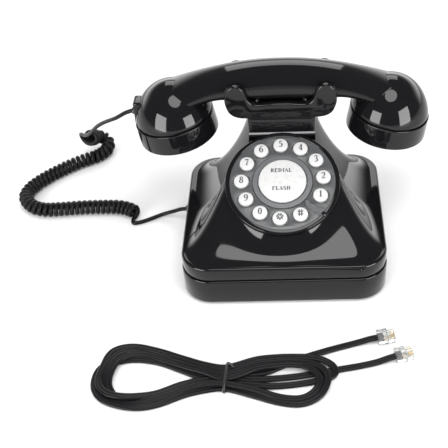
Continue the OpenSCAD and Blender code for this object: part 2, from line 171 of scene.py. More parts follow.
def catmull(points, steps, loop=False):
    """Catmull-Rom points through a route."""
    p = np.asarray(points, float)
    n = len(p)
    out = []
    for i in range(n if loop else n - 1):
        a, b = p[(i - 1) % n] if loop else p[max(i - 1, 0)], p[i]
        c, d = p[(i + 1) % n] if loop else p[i + 1], p[(i + 2) % n] if loop else p[min(i + 2, n - 1)]
        for t in np.arange(steps) / steps:
            out.append(0.5 * (2 * b + (c - a) * t + (2 * a - 5 * b + 4 * c - d) * t * t
                              + (3 * b - a - 3 * c + d) * t ** 3))
    return np.array(out if loop else out + [p[-1]])


def even(points, spacing):
    """The same route with points an even distance apart."""
    p = np.asarray(points, float)
    s = np.concatenate([[0], np.cumsum(np.linalg.norm(np.diff(p, axis=0), axis=1))])
    t = np.linspace(0, s[-1], max(int(round(s[-1] / spacing)), 2) + 1)
    return np.stack([np.interp(t, s, p[:, i]) for i in range(p.shape[1])], 1)


def soften(points, rounds):
    """Averages each inner point with its neighbours."""
    p = np.array(points, float)
    for _ in range(rounds):
        p[1:-1] = (p[:-2] + 2 * p[1:-1] + p[2:]) / 4
    return p


def length_of(points):
    return float(np.linalg.norm(np.diff(points, axis=0), axis=1).sum())


def unit(vectors):
    return vectors / np.linalg.norm(vectors, axis=1)[:, None]


def frames_along(path):
    """Tangent, side and up at each point of a route, carried along without twist."""
    t = unit(np.gradient(path, axis=0))
    up = np.array([0, 0, 1.0]) if abs(t[0][2]) < 0.9 else np.array([0, 1.0, 0])
    sides, ups = [], []
    for v in t:
        up = up - v * (up @ v)
        up /= np.linalg.norm(up)
        sides.append(np.cross(v, up))
        ups.append(up)
    return t, np.array(sides), np.array(ups)


def sweep(path, section, level=False, swell=None):
    """A tube whose closed section (side, up) follows a route. A level one keeps its flat side down."""
    t, side, up = frames_along(path)
    if level:
        side = unit(np.cross(t, np.array([0, 0, 1.0])))
        up = np.cross(side, t)
    k = np.ones(len(path)) if swell is None else swell
    rings = [p + w * (section[:, :1] * s + section[:, 1:] * u) for p, w, s, u in zip(path, k, side, up)]
    return loft(rings)


def circle_section(r, n):
    a = around(n)
    return np.stack([r * np.cos(a), r * np.sin(a)], 1)


def rounded_rectangle(centre, half, r, z, steps, reach=1.0):
    """A level rectangle with rounded corners. A reach under 1 draws its outline in by a share of r."""
    ring = []
    for k, (sx, sy) in enumerate([(1, 1), (-1, 1), (-1, -1), (1, -1)]):
        cx, cy = centre[0] + sx * (half[0] - r), centre[1] + sy * (half[1] - r)
        for a in np.linspace(0, pi / 2, steps):
            q = a + k * pi / 2
            ring.append((cx + r * reach * cos(q), cy + r * reach * sin(q), z))
    return ring


def rounded_box(lo, hi, r, steps=4):
    """A box with rounded edges, as stacked rounded rectangles."""
    lo, hi = np.asarray(lo, float), np.asarray(hi, float)
    centre, half = (lo + hi) / 2, (hi - lo) / 2
    levels = [(r - r * cos(a), sin(a)) for a in np.linspace(0, pi / 2, steps)]
    stack = [(lo[2] + q, k) for q, k in levels] + [(hi[2] - q, k) for q, k in levels[::-1]]
    return loft([rounded_rectangle(centre, half, r, z, steps, k) for z, k in stack])


def boolean(obj, cutters, operation="DIFFERENCE", sharp=35.0):
    """Applies a boolean of separate meshes to a piece, and removes them."""
    for cutter in cutters:
        mod = obj.modifiers.new("cut", "BOOLEAN")
        mod.object, mod.operation, mod.solver = cutter, operation, "EXACT"
        graph = bpy.context.evaluated_depsgraph_get()
        data = bpy.data.meshes.new_from_object(obj.evaluated_get(graph))
        obj.modifiers.clear()
        old = obj.data
        obj.data = data
        bpy.data.meshes.remove(old)
        bpy.data.objects.remove(cutter)
    data.shade_smooth()
    data.set_sharp_from_angle(angle=radians(sharp))


# ---------- materials ----------
LEAST_ROUGH, GRAIN_DEPTH = 0.02, 0.0002


def fill_inputs(tree, node, values):
    """Sets a node's inputs by name, each to a number or to another node's output."""
    for name, value in values.items():
        if isinstance(value, bpy.types.NodeSocket):
            tree.links.new(value, node.inputs[name])
        else:
            node.inputs[name].default_value = value


def add_node(tree, kind, output, values, **settings):
    """A shader node's output, by name, once its settings and inputs are filled."""
    node = tree.nodes.new("ShaderNode" + kind)
    for name, value in settings.items():
        setattr(node, name, value)
    fill_inputs(tree, node, values)
    return node.outputs[output]


def material(name, color, rough, metallic=0, spread=0.04, noise=500, bump=0.02, fine=4000, tint=0.15,
             ior=1.46, transmission=0):
    """A surface with slight changes of colour and gloss, and a fine grain."""
    mat = bpy.data.materials.new(name)
    mat.use_nodes = True
    tree = mat.node_tree
    place = add_node(tree, "TexCoord", "Object", {})
    broad = add_node(tree, "TexNoise", "Fac", {"Vector": place, "Scale": noise, "Detail": 4})
    gloss = add_node(tree, "MapRange", "Result", {"Value": broad, "To Min": max(rough - spread, LEAST_ROUGH),
                                                  "To Max": rough + spread})
    mix = tree.nodes.new("ShaderNodeMix")
    mix.data_type = "RGBA"
    low, high = [i for i in mix.inputs if i.type == "RGBA"]
    low.default_value = (*[c * (1 - tint) for c in color], 1)
    high.default_value = (*[min(c * (1 + tint), 1) for c in color], 1)
    tree.links.new(broad, mix.inputs[0])
    shade = [o for o in mix.outputs if o.type == "RGBA"][0]
    grain = add_node(tree, "TexNoise", "Fac", {"Vector": place, "Scale": fine, "Detail": 3})
    relief = add_node(tree, "Bump", "Normal", {"Height": grain, "Strength": bump, "Distance": GRAIN_DEPTH})
    fill_inputs(tree, tree.nodes["Principled BSDF"], {
        "Base Color": shade, "Roughness": gloss, "Normal": relief, "Metallic": metallic, "IOR": ior,
        "Transmission Weight": transmission})
    return mat


GLOSS = material("gloss_black_plastic", (0.0035, 0.0035, 0.004), 0.06, spread=0.025, noise=60, bump=0.012,
                 fine=900, ior=1.38)
# A lighter, more reflective copy of the black plastic for the neck ledge. Its lighter colour is a painted
# highlight.
LEDGE_HIGHLIGHT = material("ledge_painted_highlight", (0.012, 0.012, 0.013), 0.12, spread=0.03, noise=200, fine=1500, ior=1.6)
CORD = material("black_cord_vinyl", (0.004, 0.004, 0.0045), 0.36, noise=400, bump=0.08, fine=3000,
                ior=1.24)
PLATE = material("dial_grey_satin", (0.038, 0.0395, 0.041), 0.27, noise=2600, bump=0.16, fine=5200)
RING = material("dial_ring_grey", (0.062, 0.064, 0.067), 0.34, bump=0.15, fine=5200)
WHITE = material("key_white_plastic", (0.335, 0.335, 0.333), 0.28, noise=300, bump=0.03, fine=2500,
                 tint=0.02)
INK = material("key_print", (0.015, 0.015, 0.016), 0.55, noise=2500, bump=0.05)
INK_SOFT = material("centre_print", (0.05, 0.05, 0.053), 0.55, noise=2500, bump=0.05)
RUBBER = material("foot_rubber", (0.018, 0.018, 0.018), 0.75, bump=0.5, fine=3500)
STEEL = material("plated_steel", (0.55, 0.55, 0.56), 0.3, metallic=1, noise=600, bump=0.08)
IRON = material("cast_iron", (0.16, 0.165, 0.17), 0.6, metallic=0.8, noise=250, bump=0.6, fine=1800)
SILICONE = material("keypad_silicone", (0.25, 0.26, 0.27), 0.65, noise=400, bump=0.2)
BOARD = material("circuit_board_green", (0.02, 0.11, 0.045), 0.35, noise=350, bump=0.25, fine=1500,
                 tint=0.3)
RIBBON = material("ribbon_grey", (0.33, 0.34, 0.35), 0.5, noise=400, bump=0.1)
INNER = material("inner_dark_plastic", (0.03, 0.031, 0.034), 0.45, bump=0.2)
GOLD = material("contact_gold", (0.83, 0.58, 0.22), 0.22, metallic=1, noise=700, bump=0.05)
SATIN = material("satin_black_plastic", (0.009, 0.009, 0.0095), 0.3, bump=0.15, fine=3000)
CLEAR = material("plug_clear_plastic", (0.93, 0.95, 0.95), 0.06, spread=0.03, noise=300, bump=0.03,
                 tint=0.02, transmission=0.92)
WIRE = material("inner_wires", (0.5, 0.42, 0.3), 0.4, noise=900, bump=0.1)


def paint(obj, mat):
    obj.data.materials.clear()
    obj.data.materials.append(mat)
    return obj


def piece(obj, mat, body, slot=None, nodes=()):
    """Gives a finished piece its material and body, and hides the CAD nodes it stands for; slot is not used.
    """
    paint(obj, mat)
    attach(obj, body)
    if nodes:
        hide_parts(*nodes)
    return obj


def part(name, shape, sharp, mat, body, slot=None, nodes=()):
    """A finished piece from points and faces."""
    return piece(add_mesh(name, *shape, sharp), mat, body, slot, nodes)


# ---------- cords, in millimetres ----------
WIRE_D, COIL_WIRE_D, COIL_D, COIL_PITCH = 3.2, 3.8, 12.0, 4.3
END_FLARE, FLARE_TURNS = 2.4, 3.5
FLAT_W, FLAT_T, GROOVE_W, GROOVE_DEPTH = 5.0, 2.4, 0.45, 0.28

LEAD_POINTS = [
    (-113, 40.5, 96), (-119, 41.5, 93.3), (-128.4, 46.9, 85), (-140.4, 59.4, 73), (-151.2, 71.9, 60),
    (-163, 89.5, 41), (-170.5, 101, 31),
]
COIL_LIES = 6.3
COIL_POINTS = [
    (-169.8, 109, 21), (-167.5, 115.5, 18.5), (-162.8, 122.5, 13.5), (-157.8, 121.5, 9),
    (-157.3, 113.5, 6.8),
] + [(x, y, COIL_LIES) for x, y in [
    (-164.5, 104.4), (-173.9, 99.3), (-183.5, 93), (-193.5, 85), (-204, 75), (-213, 63), (-216, 50),
    (-209, 38.5), (-198, 33), (-184, 33), (-165, 34.5), (-143.5, 34.5), (-133.5, 33.4), (-125, 29.8),
    (-121.5, 26.8),
]]
BASE_LEAD_POINTS = [
    (-123.6, 24.2, 1.7), (-124, 21, 1.7), (-121.6, 18.8, 1.7), (-117.3, 19.8, 1.7), (-111, 22.6, 1.8),
    (-99.9, 27, 3.2), (-89.7, 25.8, 7.5), (-83.5, 22.7, 12), (-79, 22, 13),
]


def coil_path(axis, radius, pitch, first, last, per_turn=16):
    """A helix round an axis, from one side of it to another, that opens out at its start."""
    axis = even(soften(catmull(axis, 12), 3), 0.5)
    t, side, up = frames_along(axis)
    start = atan2(np.dot(first, up[0]), np.dot(first, side[0]))
    share = (atan2(np.dot(last, up[-1]), np.dot(last, side[-1])) - start) / (2 * pi)
    turns = round(length_of(axis) / pitch - share) + share
    n = int(turns * per_turn)
    out = []
    for i in range(n + 1):
        f = i / n
        s = f * (len(axis) - 1)
        j = min(int(s), len(axis) - 2)
        w = s - j
        c = axis[j] * (1 - w) + axis[j + 1] * w
        a = start + 2 * pi * turns * f
        r = radius + END_FLARE * max(0, 1 - f * turns / FLARE_TURNS) ** 1.3
        out.append(c + r * (cos(a) * side[j] + sin(a) * up[j]))
    return np.array(out)


def handset_cord():
    coil = coil_path(COIL_POINTS, (COIL_D - COIL_WIRE_D) / 2, COIL_PITCH, (-0.9, 0, -0.1), (0, 0, -1))
    into = coil[0] - 2.0 * (coil[1] - coil[0])
    lead = even(catmull(LEAD_POINTS + [tuple(into), tuple(coil[0])], 8), 1.2)
    tail = even(catmull([tuple(coil[-1])] + BASE_LEAD_POINTS, 8), 1.2)
    path = np.concatenate([lead[:-1], coil, tail[1:]])
    swell = np.ones(len(path))
    swell[len(lead):len(lead) + len(coil) - 2] = COIL_WIRE_D / WIRE_D
    swell = soften(swell, 30)
    for joint in (len(lead) - 1, len(lead) + len(coil) - 2):
        path[joint - 6:joint + 8] = soften(path[joint - 6:joint + 8], 8)
    points, faces = sweep(path, circle_section(WIRE_D / 2, 10), swell=swell)
    obj = add_mesh("handset_cord", points, faces, 60)
    paint(obj, CORD)
    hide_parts("handset_cord_lead", "handset_cord_coil", "base_cord_lead")
    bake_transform(obj)


# The hank's left loop: its outer and inner edge at 15 stations, from the tie round to the tie
LOOP_EDGES = [
    ((-39.8, -134), (-39.3, -143.6)), ((-52.9, -131), (-55.2, -141.8)),
    ((-68.7, -124.4), (-69.2, -136.2)), ((-88.9, -115.4), (-85.1, -129)),
    ((-107.4, -110.6), (-100.8, -126.1)), ((-121.7, -115.1), (-111.2, -129.3)),
    ((-128.8, -129.3), (-116.6, -136.9)), ((-130.4, -144.7), (-117.2, -145)),
    ((-124.5, -156.9), (-113.8, -151.2)), ((-112.4, -163.5), (-106.8, -155.7)),
    ((-98, -166.7), (-95.8, -154.8)), ((-83.7, -164.2), (-85, -151.8)),
    ((-66, -156.4), (-70.7, -145.2)), ((-51.5, -152.6), (-56.7, -141.7)),
    ((-38.8, -152.9), (-39.3, -143.6)),
]
LOW, HIGH = 1.5, 4.1
# Where each strand lies across the loop, 0 outside to 3 inside, and its height, at the stations from 1 to 13
LEFT_STRANDS = [
    ([0, 0, 0, 0, 0.3, 1, 1, 1.4, 2.5, 3, 3, 3, 3],
     [4, 3, 2, 2, 3.6, 4.1, 4.1, 4.6, 4.6, 2.8, 1.6, 1.5, 1.5]),
    ([1, 1, 1, 1, 1.4, 2, 2, 1.8, 1, 1, 1, 1, 1],
     [4, 3, 1.5, 1.7, 3.6, 4.1, 2.6, 1.7, 1.5, 1.5, 1.6, 2.6, 4]),
    ([2, 2, 2, 2, 2.4, 3, 3, 2.8, 2, 2, 2, 2, 2],
     [4, 3, 2, 2, 3.6, 4.1, 2.6, 1.7, 1.5, 1.8, 2, 1.7, 1.5]),
    ([3, 3, 3, 3, 2.4, 0.3, 0, 0, 0, 0, 0, 0, 0],
     [1.5, 1.5, 1.5, 1.5, 1.4, 1.4, 1.5, 2, 2, 2, 1.5, 1.5, 1.5]),
]
# The right side's runs, from the tie or a plug to the tie
RUN_1 = [
    (-20.6, -128.5, 4.2), (-6.8, -126.8, 4.2), (6.9, -126.6, 4.2), (19.7, -127.5, 3.9), (29.6, -131, 3),
    (34, -136.4, 1.9), (32, -141.9, 1.5), (22.9, -145.1, 1.4), (6.7, -148.2, 1.4), (-9.3, -149.2, 1.4),
    (-22.1, -147.6, 1.5),
]
RUN_2 = [
    (-20.5, -132.3, 4), (-6.8, -130.4, 4), (6.9, -130.2, 4), (18.7, -132.4, 4.2), (26.2, -138.5, 4.3),
    (28.6, -146.5, 4.2), (24.3, -157, 3), (16.2, -162.9, 1.9), (6.6, -164.6, 1.5), (-6.5, -161.9, 1.5),
    (-19.8, -157, 1.5),
]
RUN_3 = [
    (-20.4, -136.2, 4.2), (-8.6, -134.2, 4.2), (3.2, -133.3, 4.2), (14.1, -135.2, 4.4), (21, -140.7, 4.4),
    (23.4, -147.5, 4.3), (20, -154.6, 3), (13.7, -159, 2), (5.8, -160.2, 1.8), (-6.6, -157.9, 2),
    (-20, -152.9, 3),
]
TAIL_A = [
    (64.2, -110.2, 3.6), (58, -111.4, 3.2), (52, -112.6, 2), (44.2, -114.5, 1.4), (30.1, -118.9, 1.4),
    (16.1, -123.9, 1.4), (3.2, -129.4, 1.4), (-11.3, -136.6, 1.4), (-24.7, -138.4, 1.4),
]
TAIL_B = [
    (75.2, -127.2, 3.6), (69, -129, 3), (63, -130.6, 1.8), (52.2, -133.1, 1.4), (36.7, -136.1, 1.4),
    (21.2, -139.2, 1.4), (3.2, -142, 1.4), (-16.6, -143.2, 1.4), (-27.3, -142.4, 1.4),
]
# Where the eight passes go through the tie: A, runs 1 to 3 out, B, runs 1 to 3 back
TIE_X = -39.5
TIE_A, TIE_B = (TIE_X, -136.6, LOW), (TIE_X, -141.4, LOW)
TIE_OUT = [(TIE_X, -134.8, HIGH), (TIE_X, -139.4, HIGH), (TIE_X, -143.9, HIGH)]
TIE_BACK = [(TIE_X, -146, LOW), (TIE_X, -150.4, LOW), (TIE_X, -148.4, HIGH)]


def left_strand(k):
    """The left loop of strand k between its two passes through the tie."""
    ranks, heights = LEFT_STRANDS[k]
    out = []
    for (o, i), rank, z in zip(LOOP_EDGES[1:-1], ranks, heights):
        w = (rank + 0.5) / 4
        out.append((o[0] * (1 - w) + i[0] * w, o[1] * (1 - w) + i[1] * w, z))
    return out


def line_cord_path():
    """Plug A, then a left and a right loop in turn, and out to plug B."""
    route = TAIL_A + [TIE_A] + left_strand(3) + [TIE_BACK[1]] + RUN_2[::-1] + [TIE_OUT[1]]
    route += left_strand(1) + [TIE_BACK[2]] + RUN_3[::-1] + [TIE_OUT[2]]
    route += left_strand(2) + [TIE_BACK[0]] + RUN_1[::-1] + [TIE_OUT[0]]
    route += left_strand(0) + [TIE_B] + TAIL_B[::-1]
    return even(soften(even(catmull(route, 10), 1.0), 6), 1.5)


def flat_section():
    """A flat cord's section, with a shallow groove along its middle."""
    half, r = FLAT_W / 2, FLAT_T / 2
    across = (0.9, 0.45, 0.2, 0, -0.2, -0.45, -0.9)
    top = [(x, r - GROOVE_DEPTH * exp(-(x / GROOVE_W) ** 2)) for x in across]
    right = [(half - r + r * cos(a), r * sin(a)) for a in np.linspace(-pi / 2, pi / 2, 7)]
    return np.array(right + top + [(-x, -y) for x, y in right] + [(-x, -y) for x, y in top])


# Where a plug's four wires and contacts lie across it
LANES = [-1.95 + 1.3 * k for k in range(4)]


def plug(name, at, turn):
    """A clear modular plug, 12.3 mm long, with its cable's end, contacts and latch."""
    def place(p):
        c, s = cos(radians(turn)), sin(radians(turn))
        return np.stack([at[0] + p[:, 0] * c - p[:, 1] * s, at[1] + p[:, 0] * s + p[:, 1] * c, p[:, 2]], 1)

    body = [rounded_box((0.1, -4.85, 0.35), (7.6, 4.85, 6.8), 0.5),
            rounded_box((7.0, -4.5, 0.35), (12.25, 4.5, 5.6), 0.35),
            rounded_box((3.6, -1.6, 6.6), (12.1, 1.6, 7.75), 0.3)]
    wires = [rounded_box((4.5, y - 0.3, 2.9), (9.6, y + 0.3, 3.5), 0.15) for y in LANES]
    sheath = rounded_box((0.2, -2.4, 2.4), (4.6, 2.4, 4.7), 0.8)
    contacts = [rounded_box((9.0, y - 0.2, 3.2), (12.15, y + 0.2, 5.45), 0.1) for y in LANES]
    looks = [("_shell", join(body), CLEAR, "plug_clear", [name]),
             ("_wires", join(wires), WIRE, "plug_clear", ()),
             ("_sheath", sheath, CORD, "cord_pvc", ()),
             ("_contacts", join(contacts), GOLD, "contact_gold", ())]
    return [part(name + end, placed(shape, place), 30, mat, "line_cord", slot, nodes)
            for end, shape, mat, slot, nodes in looks]


def twist_tie():
    """A thin wire tie round the hank's waist, with its twisted ends standing up."""
    y0, y1, z0, z1 = -154.0, -131.2, 0.65, 6.6
    middle = (y0 + y1) / 2
    loop = [(-40.2, y0 + 2, z0), (-40.0, middle, z0), (-39.4, y1 - 2.5, z0), (-39.0, y1, 2.2),
            (-38.8, y1 - 0.9, 5.2), (-39.1, y1 - 4, z1), (-39.6, middle, z1), (-40.4, y0 + 3, 5.6),
            (-40.8, y0, 3), (-40.5, y0 + 0.6, 1)]
    ring = even(catmull(loop, 8, loop=True), 0.8)
    t = unit(np.roll(ring, -1, 0) - np.roll(ring, 1, 0))
    side = unit(np.cross(t, np.array([1.0, 0, 0])))
    sec = circle_section(1.0, 10) * np.array([0.45, 1.0])
    rings = [p + sec[:, :1] * s + sec[:, 1:] * np.cross(s, v) for p, s, v in zip(ring, side, t)]
    parts = [loft(rings, loop=True)]
    for end in ([(-39.2, -134.6, 6.4), (-37.4, -134.2, 7.6), (-34.6, -136.2, 6.3)],
                [(-39.6, -134.8, 6.4), (-38.6, -133.2, 7.4), (-36.0, -133.0, 5.4)]):
        parts.append(sweep(even(catmull(end, 8), 0.4), circle_section(0.55, 8)))
    return part("line_cord_tie_wire", join(parts), 60, SATIN, "line_cord", "cord_pvc", ["line_cord_tie"])


def line_cord():
    path = line_cord_path()
    obj = part("line_cord", sweep(path, flat_section(), level=True), 50, CORD, "line_cord", "cord_pvc",
               ["line_cord_hank", "line_cord_tail_a", "line_cord_tail_b"])
    goes_with = plug("line_plug_a", (64, -110), 9) + plug("line_plug_b", (75, -127), 15) + [twist_tie()]


handset_cord()
line_cord()

# ---------- the phone's own sizes, in millimetres ----------
BASE_W, BASE_D, BASE_Y, CORNER_R = 150.0, 134.0, -5.0, 22.0
FOOT_H, TRAY_TOP, LIP_BOTTOM, LIP_TOP = 1.5, 22.5, 24.0, 34.5
SKIRT, WALL = 3.0, 2.4
DIAL_C, DIAL_TILT = np.array([0, -15.5, 68.5]), radians(23.3)
DIAL_R, DRUM_R, DRUM_DEPTH = 38.6, 42.0, 8.0
KEY_R, CAP_GAP, KEY_RING, FIRST_KEY, KEY_STEP = 5.7, 0.34, 30.0, -24.0, 29.0
ROCKER_R = 17.5
NECK_HALF, NECK_FRONT, NECK_REAR, NECK_TOP = 25.0, 24.0, 51.0, 98.5
CRADLE_Y, SADDLE_Z, HORN_TOP, HORN_T = 40.5, 107.9, 126.5, 4.8
CAP_R, CAP_X, CAP_Z, CAP_H, DOME_H, CAP_TILT = 30.8, 79.0, 75.5, 17.0, 28.0, radians(9)
HANDLE_Z, HANDLE_RY, HANDLE_RZ, HANDLE_END, SEAM_Z = 121.8, 13.8, 13.6, 84.0, 113.5
CORD_X, CORD_Z = -113.0, 96.0
GROMMET_X, GROMMET_Y, GROMMET_Z = -79.0, 22.0, 13.0
POST_DX, POST_DY, FOOT_DX, FOOT_DY = 56, 50, 40, 48


def on_dial(p):
    """Points of the dial's plane, at its place."""
    p = np.atleast_2d(np.asarray(p, float))
    c, s = cos(DIAL_TILT), sin(DIAL_TILT)
    return DIAL_C + np.stack([p[:, 0], p[:, 1] * c - p[:, 2] * s, p[:, 1] * s + p[:, 2] * c], 1)


def outline_radius(hx, hy, r, a):
    c, s = abs(cos(a)), abs(sin(a))
    straight = min(hx / max(c, 1e-3), hy / max(s, 1e-3))
    if straight * c > hx - r and straight * s > hy - r:
        b = c * (hx - r) + s * (hy - r)
        return b + sqrt(b * b - (hx - r) ** 2 - (hy - r) ** 2 + r * r)
    return straight


def outline(inset, z, angles):
    """The base's rounded rectangle, inset, at a height."""
    out = []
    for a in angles:
        r = outline_radius(BASE_W / 2 - inset, BASE_D / 2 - inset, max(CORNER_R - inset, 1), a)
        out.append((r * cos(a), BASE_Y + r * sin(a), z))
    return np.array(out)


# The keyhole outline of the housing's top: the drum, then the neck
SIDE_STEPS, REAR_STEPS, DRUM_STEPS = 30, 24, 150
CREASE, REAR_CORNER = radians(-5), radians(62)


def keyhole(inset, z):
    joint = acos(NECK_HALF / DRUM_R)
    half = NECK_HALF - inset
    near, far = (DRUM_R - inset) * sin(joint), (NECK_REAR - DIAL_C[1]) / cos(DIAL_TILT) - inset
    ups = np.linspace(near, far, SIDE_STEPS + 1)
    p = [(half, y) for y in ups]
    p += [(half - 2 * half * i / REAR_STEPS, far) for i in range(1, REAR_STEPS)]
    p += [(-half, y) for y in ups[:0:-1]]
    for i in range(DRUM_STEPS):
        a = pi - joint + (pi + 2 * joint) * i / DRUM_STEPS
        p.append(((DRUM_R - inset) * cos(a), (DRUM_R - inset) * sin(a)))
    return on_dial([(x, y, z) for x, y in p])


def bearings():
    """The base outline's bearing for each point of the keyhole."""
    sides = np.linspace(CREASE, REAR_CORNER, SIDE_STEPS + 1)
    out = list(sides)
    out += [REAR_CORNER + (pi - 2 * REAR_CORNER) * i / REAR_STEPS for i in range(1, REAR_STEPS)]
    out += [pi - a for a in sides[:0:-1]]
    out += [pi - CREASE + (pi + 2 * CREASE) * i / DRUM_STEPS for i in range(DRUM_STEPS)]
    return out


def sweep_power(a):
    """How steeply the hood sweeps up at a bearing."""
    return 2 - (0.6 * sin(2 * a) ** 2 if sin(a) < 0 else 0)


def pagoda_rings(inset, low, z, rows):
    """Rings of the swept hood, from the lip up to the keyhole."""
    angles = bearings()
    foot, top = outline(SKIRT + inset, low, angles), keyhole(inset, z)
    power = np.array([sweep_power(a) for a in angles])
    rings = []
    for t in np.linspace(0, 1, rows):
        ring = foot + (top - foot) * t
        ring[:, 2] = low + (top[:, 2] - low) * t ** power
        rings.append(ring)
    return rings


def housing():
    """Lip band and swept hood, as one hollow shell with its top open for the dial and the neck."""
    angles = bearings()
    band = [(SKIRT + WALL, LIP_BOTTOM), (1.0, LIP_BOTTOM), (0.7, LIP_BOTTOM + 0.15), (0.6, LIP_BOTTOM + 0.5),
            (0.6, LIP_TOP - 1.6), (0.66, LIP_TOP - 1.15), (0.85, LIP_TOP - 0.7), (1.15, LIP_TOP - 0.35),
            (1.55, LIP_TOP - 0.12), (2.0, LIP_TOP)]
    rings = [outline(s, z, angles) for s, z in band]
    rings += pagoda_rings(0.0, LIP_TOP, -DRUM_DEPTH / 2, 60)
    rings += pagoda_rings(WALL, LIP_TOP - WALL, -DRUM_DEPTH / 2 - WALL, 30)[::-1]
    obj = add_mesh("housing", *loft(rings, loop=True), 28)
    piece(obj, GLOSS, "base", "black_gloss", ["upper_housing"])


def dial_drum():
    """The round rim that the dial plate sits in."""
    profile = [(DRUM_R, -DRUM_DEPTH), (DRUM_R, -1.0), (DRUM_R - 0.2, -0.55), (DRUM_R - 0.6, -0.35)]
    profile += [(DIAL_R + 0.9, 0.12), (DIAL_R + 0.45, 0.12), (DIAL_R + 0.25, -0.05)]
    profile += [(DIAL_R + 0.2, -DRUM_DEPTH)]
    part("dial_drum", closed_revolve(profile, 192, on_dial), 40, GLOSS, "base", "black_gloss", ["dial_ring"])


def neck():
    """The neck between the hood and the cradle, with its recessed panel and ledge."""
    middle, depth = (NECK_FRONT + NECK_REAR) / 2, (NECK_REAR - NECK_FRONT) / 2
    levels = [(62, 0.05), (75, 0), (97.6, 0), (98.2, 0.15), (NECK_TOP, 0.6), (NECK_TOP, WALL), (62, WALL)]
    rings = [rounded_rectangle((0, middle), (NECK_HALF - s, depth - s), 1.6, z, 7) for z, s in levels]
    part("neck_shaft", loft(rings, loop=True), 30, GLOSS, "base", "black_gloss")
    y = NECK_FRONT
    ledge = [(y + 0.4, 82.4), (y + 0.4, 84.8), (y - 0.5, 84.7), (y - 1.7, 83.9), (y - 1.8, 83.7),
             (y - 1.8, 82.4)]
    ends = [[(x, q, z) for q, z in ledge] for x in (-24.6, 24.6)]
    # The ledge's rounded shape catches real light. Its lighter material is a painted highlight on the black
    # plastic.
    part("neck_ledge", loft(ends), 20, LEDGE_HIGHLIGHT, "base", "black_gloss")
    trim = [rounded_box((-22.6, y - 0.5, 85.2), (22.6, y + 0.4, 96.4), 0.35),
            rounded_box((-24.3, y - 0.7, 97.0), (24.3, y + 0.4, 98.4), 0.4)]
    part("neck_trim", join(trim), 30, GLOSS, "base", "black_gloss", ["neck_panel"])


def plate_mesh(name, outer, holes, low, high, bevel, place):
    """A flat plate with round holes and softened edges, between two heights."""
    curve = bpy.data.curves.new(name, "CURVE")
    curve.dimensions, curve.fill_mode = "2D", "BOTH"
    curve.extrude, curve.bevel_depth, curve.bevel_resolution = (high - low) / 2 - bevel, bevel, 2
    for cx, cy, r in [(0, 0, outer - bevel)] + [(x, y, q + bevel) for x, y, q in holes]:
        n = 160 if r > 10 else 64
        spline = curve.splines.new("POLY")
        spline.points.add(n - 1)
        spline.use_cyclic_u = True
        for k in range(n):
            a = 2 * pi * k / n
            spline.points[k].co = (cx + r * cos(a), cy + r * sin(a), 0, 1)
    tmp = add_object(name + "_curve", curve)
    bpy.context.view_layer.update()
    data = bpy.data.meshes.new_from_object(tmp.evaluated_get(bpy.context.evaluated_depsgraph_get()))
    bpy.data.objects.remove(tmp)
    bpy.data.curves.remove(curve)
    bm = bmesh.new()
    bm.from_mesh(data)
    bmesh.ops.remove_doubles(bm, verts=bm.verts, dist=1e-4)
    points = np.array([v.co for v in bm.verts], float)
    faces = [tuple(v.index for v in f.verts) for f in bm.faces]
    bm.free()
    bpy.data.meshes.remove(data)
    points[:, 2] += (low + high) / 2
    return add_mesh(name, place(points), faces, 30)


def key_angle(i):
    return radians(FIRST_KEY + KEY_STEP * i)


def key_spot(i):
    return KEY_RING * cos(key_angle(i)), KEY_RING * sin(key_angle(i))


def dial():
    """The plate with a hole for each key, the well under the centre disc painted dark as shade for the gaps,
    and the rim round the disc.
    """
    holes = [(*key_spot(i), KEY_R + 0.35) for i in range(12)]
    plate = plate_mesh("dial_plate_face", DIAL_R + 0.1, holes + [(0, 0, 22.25)], -1.9, 0.0, 0.14, on_dial)
    piece(plate, PLATE, "base", "dial_grey", ["dial_plate"])
    well = [(17.9, -1.9), (22.3, -1.9), (22.3, -1.2), (17.9, -1.2)]
    # The well is painted satin black rather than dial grey: painted shade seen through the gaps round the
    # rim.
    part("dial_well_painted_shade", closed_revolve(well, 128, on_dial), 30, SATIN, "base", "dial_grey")
    rim = [(18.0, -1.4), (18.0, 0.35)] + arc(18.35, 0.35, 0.35, 180, 90, 4) + [(19.2, 0.62), (20.6, 0.58)]
    rim += arc(21.5, 0.15, 0.45, 90, 0, 5) + [(21.95, -1.4)]
    part("dial_inner_ring_rim", closed_revolve(rim, 160, on_dial), 50, RING, "base", "dial_grey",
         ["dial_inner_ring"])


STOP_EDGE = [(30.2, -23.5), (25.0, -22.0), (21.2, -19.9), (18.9, -17.1), (17.4, -16.2), (16.3, -17.3),
             (16.9, -19.8), (18.9, -22.4), (22.9, -25.1), (26.9, -27.3)]
STOP_LUG_TURN = radians(-18.6)


def finger_stop():
    """The imitation finger stop: a raised tongue from the inner ring to the rim."""
    flat = catmull(STOP_EDGE, 5, loop=True)[::-1]
    rings = [on_dial(np.c_[inset_ring(flat, s), np.full(len(flat), z)])
             for s, z in ((0, -0.4), (0, 0.5), (0.12, 0.72), (0.35, 0.85), (0.6, 0.78), (0.85, 0.55))]
    part("finger_stop_tongue", loft(rings), 40, PLATE, "base", "dial_grey", ["finger_stop"])
    end = key_angle(0) + STOP_LUG_TURN
    c, s = cos(end), sin(end)

    def place(p):
        return on_dial(np.stack([p[:, 0] * c - p[:, 1] * s, p[:, 0] * s + p[:, 1] * c, p[:, 2]], 1))
    lug = rounded_box((DIAL_R - 0.4, -1.5, -1.0), (DRUM_R - 0.1, 1.5, 0.95), 0.35)
    part("finger_stop_lug", placed(lug, place), 30, GLOSS, "base", "black_gloss")


# ---------- lettering: strokes of (x, y, width), in hundredths of the character's height ----------
SERIF = 6


def bar(x0, x1, y, w=SERIF):
    return [(x0, y, w), (x1, y, w)]


